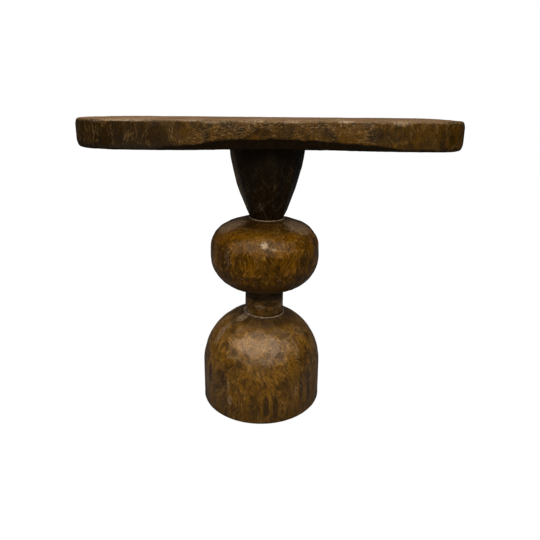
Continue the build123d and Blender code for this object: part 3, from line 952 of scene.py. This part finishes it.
# The flats to the left and the right are painted pale and grey as reflection of light from the
# sides; the front flats are darker.
dab(capital, round_member(CAPITAL_X),
    stain=[(-26, 650, 18, 70, 0.9), (28, 600, 10, 60, 0.6), (58, 620, 16, 80, 0.8)],
    bare=[(-74, 650, 22, 60, 0.66), (-70, 570, 10, 50, 0.60), (88, 600, 8, 90, 0.50)],
    scuff=[(-70, 650, 26, 60, 0.85), (-66, 570, 14, 50, 0.75), (86, 600, 10, 90, 0.8),
           (-14, 540, 12, 20, 0.45), (150, 620, 30, 60, 0.5), (220, 580, 30, 60, 0.5)])
# The capital's colours are darker than the other members': partly a darker stain, partly painted
# shade from the slab above.
capital_wood = carved_wood("waxed_capital_wood",
                           ((5, 2, 0), (20, 11, 0), (34, 19, 1), (118, 100, 70)),
                           streak=(0.009, 0.09), scratches=0.16, gloss=0.30, shine=0.2)
finish_piece(capital, "carved_capital", capital_wood, "capital_wood", "capital")

# %% [markdown]
# ## The slab
#
# The slab is one thick plank, round at its left end, squarer at its right and a
# little waisted between. Half its outline is swung in arcs that run into each other,
# the other half mirrors it, and the plank is pushed down from it. A voxel remesh
# then lays an even net of small faces over it, as carving needs.

# %% The slab's outline
SLAB_TOP, SLAB_LENGTH, SLAB_DEPTH = 0.760, 0.956, 0.330
WAIST_LEFT, WAIST_RIGHT, WAIST, WAIST_SHOULDER = -0.144, 0.246, 0.012, 0.260
RIGHT_BOW, RIGHT_CORNER = 0.022, 0.088
TOP_ARRIS, UNDER_ARRIS, DRAWN_IN = 0.0050, 0.0055, 0.0021
PROUD = 0.0009
OUTLINE_STEP, NET_STEP = 0.006, 0.0031


def half_outline():
    """From the left tip along the front to the right tip, drawn upright for now."""
    half, end = SLAB_DEPTH / 2, SLAB_LENGTH / 2
    middle, span = (WAIST_LEFT + WAIST_RIGHT) / 2, (WAIST_RIGHT - WAIST_LEFT) / 2
    waist_arc = (span**2 + WAIST**2) / (2 * WAIST)
    waist_centre = WAIST - half - waist_arc
    shoulder_centre = WAIST_SHOULDER - half
    into_waist = acos((shoulder_centre - waist_centre) / (waist_arc + WAIST_SHOULDER))
    shoulder_x = (waist_arc + WAIST_SHOULDER) * sin(into_waist)
    end_arc = (half**2 + RIGHT_BOW**2) / (2 * RIGHT_BOW)
    into_end = asin((half - RIGHT_CORNER) / (end_arc - RIGHT_CORNER))
    corner_x = end - end_arc + (end_arc - RIGHT_CORNER) * cos(into_end)
    step = OUTLINE_STEP
    line = Pencil(-end - PROUD, 0)
    line.swing(half - end, 0, -pi / 2, step)
    line.straight(middle - shoulder_x, -half - PROUD, step)
    line.swing(middle - shoulder_x, shoulder_centre, -into_waist, step)
    line.swing(middle, waist_centre, 2 * into_waist, step)
    line.swing(middle + shoulder_x, shoulder_centre, -into_waist, step)
    line.straight(corner_x, -half - PROUD, step)
    line.swing(corner_x, RIGHT_CORNER - half, into_end - pi / 2, step)
    line.swing(end - end_arc, 0, -into_end, step)
    print("right tip at", round(line.tip.co.x, 4), round(line.tip.co.z, 6))
    return line.drawing


# %% The slab's blank
def slab_blank():
    """The outline laid down, filled and pushed down to the slab's thickness."""
    work = half_outline()
    bmesh.ops.mirror(work, geom=work.verts[:] + work.edges[:], merge_dist=1e-4, axis="Z")
    bmesh.ops.remove_doubles(work, verts=work.verts, dist=1e-5)
    laid_down = Matrix.Rotation(-pi / 2, 3, "X")
    bmesh.ops.rotate(work, verts=work.verts, cent=(0, 0, 0), matrix=laid_down)
    bmesh.ops.translate(work, verts=work.verts, vec=(0, 0, SLAB_TOP))
    bmesh.ops.contextual_create(work, geom=work.edges[:])
    made = bmesh.ops.extrude_face_region(work, geom=work.faces[:])
    under = [item for item in made["geom"] if isinstance(item, bmesh.types.BMVert)]
    bmesh.ops.translate(work, verts=under, vec=(0, 0, SLAB_UNDER - SLAB_TOP))
    draft = [1 - DRAWN_IN / (size / 2) for size in (SLAB_LENGTH, SLAB_DEPTH)]
    bmesh.ops.scale(work, verts=under, vec=(*draft, 1))
    bmesh.ops.recalc_face_normals(work, faces=work.faces)
    for level, reach in ((SLAB_TOP, TOP_ARRIS), (SLAB_UNDER, UNDER_ARRIS)):
        edges = [edge for edge in work.edges if all(abs(v.co.z - level) < 1e-6 for v in edge.verts)]
        bmesh.ops.bevel(work, geom=edges, offset=reach, segments=5, profile=0.5, affect="EDGES",
                        material=-1)
    return work


def even_net(work, size):
    """Lays a net of even small faces over a closed blank."""
    holder = as_object(work, "blank")
    remesh = holder.modifiers.new("net", "REMESH")
    remesh.mode = "VOXEL"
    remesh.voxel_size = size
    graph = bpy.context.evaluated_depsgraph_get()
    net = bpy.data.meshes.new_from_object(holder.evaluated_get(graph))
    work = bmesh.new()
    work.from_mesh(net)
    blank = holder.data
    bpy.data.objects.remove(holder)
    bpy.data.meshes.remove(blank)
    bpy.data.meshes.remove(net)
    return work


slab = even_net(slab_blank(), NET_STEP)
print("slab net", len(slab.verts), "points")

# %% [markdown]
# Under the middle of each long side the carver chopped the lower edge away on a
# slope that fades out at both ends. Every point beyond the slope is laid back onto
# it. Hands and knocks rounded the two ends over, and the underside sags by a
# millimetre where the capital doesn't hold it. The sides are then pared: upright
# and narrow round both ends, more freely along the middle, and the strokes make
# the upper edge of the slope waver.

# %% The chopped bevels
BEVEL_SLOPE = radians(45)
BITES = ((-0.300, 0), (-0.226, 0.0050), (-0.158, 0.0088), (-0.125, 0.0143), (-0.058, 0.0232),
         (0.021, 0.0260), (0.088, 0.0246), (0.156, 0.0203), (0.222, 0.0123), (0.270, 0.0083),
         (0.330, 0.0030), (0.380, 0))  # places along the slab, and how deep the slope bites
TOP_EASED, UNDER_EASED, SAG = 0.0036, 0.0045, 0.0012


def bevel_depth(x):
    """How deep the slope bites at this place along the slab, with a hand's waver."""
    waver = 0.0004 * sin(58 * x + 1.0) + 0.0003 * sin(131 * x)
    depth = np.interp(x, *zip(*BITES))
    return float(depth + waver) if depth > 0 else 0.0


def chop_bevels(work):
    """Lays what lies beyond the slope back onto it, in front and behind."""
    for vertex in work.verts:
        depth = bevel_depth(vertex.co.x)
        outward = -1 if vertex.co.y < 0 else 1
        facing = Vector((0, outward * sin(BEVEL_SLOPE), -cos(BEVEL_SLOPE)))
        edge = Vector((vertex.co.x, outward * SLAB_DEPTH / 2, SLAB_UNDER))
        beyond = (vertex.co - edge).dot(facing) + depth
        if beyond > 0 and abs(vertex.co.y) > 0.08 and depth > 0:
            vertex.co -= facing * beyond


def ease_edges(work):
    """Rounds the ends over a little more, and lets the underside sag clear of the capital."""
    for vertex in work.verts:
        x, z = vertex.co.x, vertex.co.z
        pull = TOP_EASED * fade(z, 0.744, 0.761) + UNDER_EASED * (1 - fade(z, 0.691, 0.708))
        vertex.co.x *= 1 - pull * fade(abs(x), 0.42, 0.475) / (SLAB_LENGTH / 2)
        clear = fade(from_axis(vertex, CAPITAL_X), 0.11, 0.16)
        vertex.co.z -= SAG * (1 - fade(z, 0.692, 0.712)) * clear


chop_bevels(slab)
ease_edges(slab)
slab.normal_update()


# %% The strokes on the slab's side, top and underside
def off_capital(vertex):
    """0 where the capital carries the slab, and 1 round it."""
    return fade(from_axis(vertex, CAPITAL_X), 0.104, 0.112)


def slab_side(vertex):
    """The upright skin all round."""
    return 1 - fade(abs(vertex.normal.z), 0.55, 0.85)


def slab_end(vertex):
    """The upright skin round both ends."""
    return slab_side(vertex) * fade(abs(vertex.normal.x), 0.35, 0.55)


def slab_long_side(vertex):
    """The upright skin in front and behind."""
    return slab_side(vertex) * (1 - fade(abs(vertex.normal.x), 0.35, 0.55))


def slab_outer_side(vertex):
    """The long sides near both ends, which were drawn down upright as the ends were."""
    x = vertex.co.x
    return slab_long_side(vertex) if x < -0.20 or x > 0.26 else 0


def slab_top_face(vertex):
    """The top."""
    return fade(vertex.normal.z, 0.8, 0.95)


def slab_under_face(vertex):
    """The underside clear of the capital."""
    return fade(-vertex.normal.z, 0.6, 0.8) * off_capital(vertex)


def anywhere(vertex):
    """The whole skin but for what the capital carries."""
    return off_capital(vertex) if vertex.normal.z < -0.6 else 1.0


def plane_to_box(work, low, high, spare=0.0001, sag=0.0014):
    """Takes off what still stands outside the plain solid's box, apart from the sag below."""
    low = (low[0], low[1], low[2] - sag)
    for vertex in work.verts:
        for axis in range(3):
            vertex.co[axis] = min(max(vertex.co[axis], low[axis] + spare), high[axis] - spare)


carve(slab, (
    (slab_long_side, 32, 1.8, (0.6, 1.5), ((0.4, 1.5), (0.12, 0.5)), 1.7, 16),
    (slab_end, 20, 3.4, (0.5, 1.0), ((0.6, 1.6), (0.08, 0.20)), 1.2, 5),
    (slab_outer_side, 20, 3.4, (0.6, 1.4), ((0.6, 1.6), (0.06, 0.18)), 1.6, 5),
    (slab_top_face, 36, 1, (0.2, 0.7), ((0.9, 2.5), (0.35, 0.9)), 0.35, 20, (1, 0, 0)),
    (slab_under_face, 30, 1, (0.2, 0.7), ((0.3, 1.2), (0.2, 0.5)), 0.9, 30, (0, 1, 0)),
), anywhere, random.Random(31))
plane_to_box(slab, *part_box("tabletop"))


# %% Its stains, gouged patches, painted shade and highlights, and a paler top partly painted as sheen
def long_side(front):
    """A spot on a long side: how far along the slab in mm, and a height."""
    def lengths(places):
        hidden = np.where((places[:, 1] < 0) == front, 0.0, 9.0)

        def across(along):
            return np.abs(places[:, 0] - along / 1000) + hidden
        return across, places[:, 2]
    return lengths


layers = slab.verts.layers.float
slab.normal_update()
for vertex in slab.verts:
    x, z, facing = vertex.co.x, vertex.co.z, vertex.normal
    side = 1 - fade(facing.z, 0.35, 0.75)
    low, upper = 1 - fade(z, 0.705, 0.750), fade(z, 0.722, 0.748)
    left, right, middle = 1 - fade(x, -0.29, -0.08), fade(x, 0.24, 0.40), fade(x, -0.22, -0.10)
    # Painted shade on both ends, where the sides turn from the light, and darker towards the
    # bottom.
    vertex[layers["stain"]] = side * (0.60 * left + 0.28 * right + 0.16 * low)
    # Painted shade under the slab, along its lower edge all round and in a band along the lower
    # edge of the left end.
    soot = 0.95 * (1 - fade(z + 0.0016 * sin(47 * x), 0.7000, 0.7090)) * (1 - fade(x, -0.20, -0.14))
    corner = 0.5 * (1 - fade(z, 0.697, 0.702))
    vertex[layers["grime"]] = max(fade(-facing.z, 0.15, 0.50), soot, corner)
    vertex[layers["scuff"]] = side * (0.14 + 0.20 * upper) * middle * (1 - fade(x, 0.22, 0.34))
    # Painted highlight on the upper arris, which faces up and forwards into the light.
    vertex[layers["rim"]] = 0.14 * fade(facing.z, 0.25, 0.55) * (1 - fade(facing.z, 0.80, 0.97))
    # The top is paler: partly worn wood and partly painted sheen, with less of it at the right
    # front corner.
    worn_away = 1 - 0.7 * fade(x, 0.36, 0.43) * (1 - fade(vertex.co.y, -0.13, -0.10))
    vertex[layers["bare"]] = 0.95 * fade(facing.z, 0.88, 0.975) * worn_away
# Painted highlights along the upper front arris.
dab(slab, long_side(True),
    rim=[(-320, 758.5, 60, 2.2, 0.40), (-170, 758.5, 30, 2.2, 0.3), (-20, 758, 16, 2.6, 0.4),
         (60, 756, 24, 3, 0.35), (300, 755, 24, 4, 0.4), (180, 757.5, 20, 3, 0.45)],
    stain=[(-136, 722, 10, 26, 0.7), (246, 728, 26, 20, 0.7), (-60, 740, 16, 10, 0.6),
           (-20, 735, 12, 12, 0.5), (-400, 730, 12, 30, 0.5), (-330, 735, 20, 16, 0.5),
           (330, 735, 10, 20, 0.5), (420, 720, 12, 24, 0.5)],
    gilt=[(-290, 748, 40, 7, 0.7), (195, 735, 34, 26, 0.8), (345, 735, 30, 24, 0.8),
          (430, 740, 20, 16, 0.8), (-170, 735, 30, 12, 0.6), (30, 740, 20, 14, 0.6)])
chance = random.Random(6)
back_marks = [(chance.uniform(-450, 450), chance.uniform(700, 750), chance.uniform(10, 40),
               chance.uniform(10, 30), chance.uniform(0.6, 0.9)) for _ in range(16)]
dab(slab, long_side(False), stain=back_marks[:8], gilt=back_marks[8:])

# %% The slab's finish, with its paler top
slab_wood = carved_wood("waxed_slab_wood", ((22, 12, 0), (52, 33, 2), (72, 45, 2), (142, 108, 62)),
                        streak=(0.012, 0.045), run=leaning, brush_run=crossing,
                        brush_size=(0.0028, 0.014), hollows=0.66, scratches=0.18, shine=0.28)
finish_piece(slab, "carved_slab", slab_wood, "slab_wood", "tabletop")

# %% [markdown]
# ## The hardware and the felt
#
# Everything that holds the table together is out of sight. Those pieces keep their
# plain solids, which have the right shapes, and get finishes of their own.

# %% Steel, beech and felt
def plain_finish(name, light, dark, size, roughness, metallic=0.0, relief=0.0002, stretch=1.0):
    """A fine mottled finish: two colours, a grain size, and how rough and metallic it is."""
    material, tree, shader = new_material(name)
    grain = noise(tree, stretched(tree, size, size * stretch), 4, 0.6)
    colour = blend(tree, limits(tree, grain, 0.3, 0.7), tint(*dark), tint(*light))
    rough = math(tree, "MULTIPLY_ADD", grain, 0.2, roughness - 0.1)
    feed(tree, shader.inputs, {"Base Color": colour, "Roughness": rough, "Metallic": metallic})
    emboss(tree, shader, grain, relief, 0.5)
    return material


finishes = {
    "zinc_steel": plain_finish("zinc_plate", (198, 200, 202), (160, 164, 168), 0.003, 0.35, 1.0),
    "plate_steel": plain_finish("black_primer", (34, 34, 36), (20, 20, 21), 0.002, 0.6),
    "dowel_wood": plain_finish("turned_beech", (206, 172, 130), (178, 138, 96), 0.0015, 0.6,
                               stretch=12),
    "felt": plain_finish("brown_felt", (62, 46, 36), (38, 28, 22), 0.0012, 0.95, relief=0.0005),
}
for entry in frame["record"]["subparts"]:
    if entry["material_slot"] in finishes:
        piece = frame["nodes"][entry["node"]]
        piece.data.materials.clear()
        piece.data.materials.append(finishes[entry["material_slot"]])
        print(entry["node"], "gets", entry["material_slot"])

# %% [markdown]
# ## Floor, light and air
#
# A pale floor catches a soft shadow. The main light is a long soft panel high in
# front of the table: waxed carving only shows its facets when they mirror something
# large, and this one lies on the shoulder of the base as a broad sheen. A second
# panel, larger to the eye and much dimmer, stands in front and draws that sheen out
# downwards. A third one behind the table lights its back alone, and is left out of
# reflections.
#
# The white air and the white floor are for the eye only. Glass would show them in
# full, and a mirror shows a small share of them, more of it behind the table than in
# front. No glass and no bare metal can be seen here, and dark waxed wood that
# mirrored them in full would turn chalky and blue at its edges.

# %% The floor
FLOOR_RADIUS = 30


def looked_at(tree):
    """The ways a ray can have come, and 1 for one from the eye, straight or through glass."""
    ways = node(tree, "LightPath").outputs
    return ways, math(tree, "MAXIMUM", ways["Is Camera Ray"], ways["Is Transmission Ray"])


sheet = bmesh.new()
bmesh.ops.create_circle(sheet, cap_ends=True, segments=96, radius=FLOOR_RADIUS)
floor = as_object(sheet, "floor")
floor_paint, floor_tree, floor_shader = new_material("floor_paint")
away = node(floor_tree, "VectorMath", operation="LENGTH")
floor_tree.links.new(on_object(floor_tree), away.inputs[0])
white = limits(floor_tree, away.outputs["Value"], 0.4, 2.5, 0.94, 1.0)
glow = math(floor_tree, "MULTIPLY", white, looked_at(floor_tree)[1])
feed(floor_tree, floor_shader.inputs, {
    "Base Color": (0.11, 0.11, 0.11, 1), "Roughness": 0.9, "Specular IOR Level": 0.0,
    "Emission Color": (1, 1, 1, 1), "Emission Strength": glow})
floor.data.materials.append(floor_paint)

# %% The air: white to the eye, softer to everything it lights
AMBIENT = 0.10
MIRRORED_FRONT, MIRRORED_BACK = 0.02, 0.06
world = bpy.data.worlds.new("air")
bpy.context.scene.world = world
world.use_nodes = True
air = world.node_tree
background = air.nodes["Background"]
toward = split(air, node(air, "TexCoord").outputs["Generated"])
behind = limits(air, toward["Y"], 0.0, 0.5, MIRRORED_FRONT, MIRRORED_BACK)
ways, seen = looked_at(air)
strength = math(air, "MULTIPLY_ADD", seen, 1 - AMBIENT, AMBIENT)
mirrored = math(air, "MULTIPLY", ways["Is Glossy Ray"], math(air, "SUBTRACT", behind, AMBIENT))
feed(air, background.inputs, {"Color": (1, 1, 1, 1),
                              "Strength": math(air, "ADD", strength, mirrored)})


# %% The lamps
def panel(name, place, target, width, height, power, mirrored=True):
    """A soft rectangular lamp that faces a target, and may be left out of reflections."""
    lamp = bpy.data.lights.new(name, "AREA")
    lamp.shape = "RECTANGLE"
    lamp.size, lamp.size_y, lamp.energy = width, height, power
    made = bpy.data.objects.new(name, lamp)
    aim = (Vector(target) - Vector(place)).to_track_quat("-Z", "Y")
    made.matrix_world = Matrix.Translation(place) @ aim.to_matrix().to_4x4()
    made.visible_glossy = mirrored
    bpy.context.scene.collection.objects.link(made)


panel("high_panel", (-0.15, -1.25, 2.10), (0, 0, 0.45), 5.2, 1.7, 112)
panel("front_panel", (0.1, -2.6, 1.35), (0, 0, 0.4), 3.2, 1.8, 18)
panel("back_panel", (0.3, 2.6, 1.1), (0, 0, 0.4), 3.2, 1.6, 34, mirrored=False)
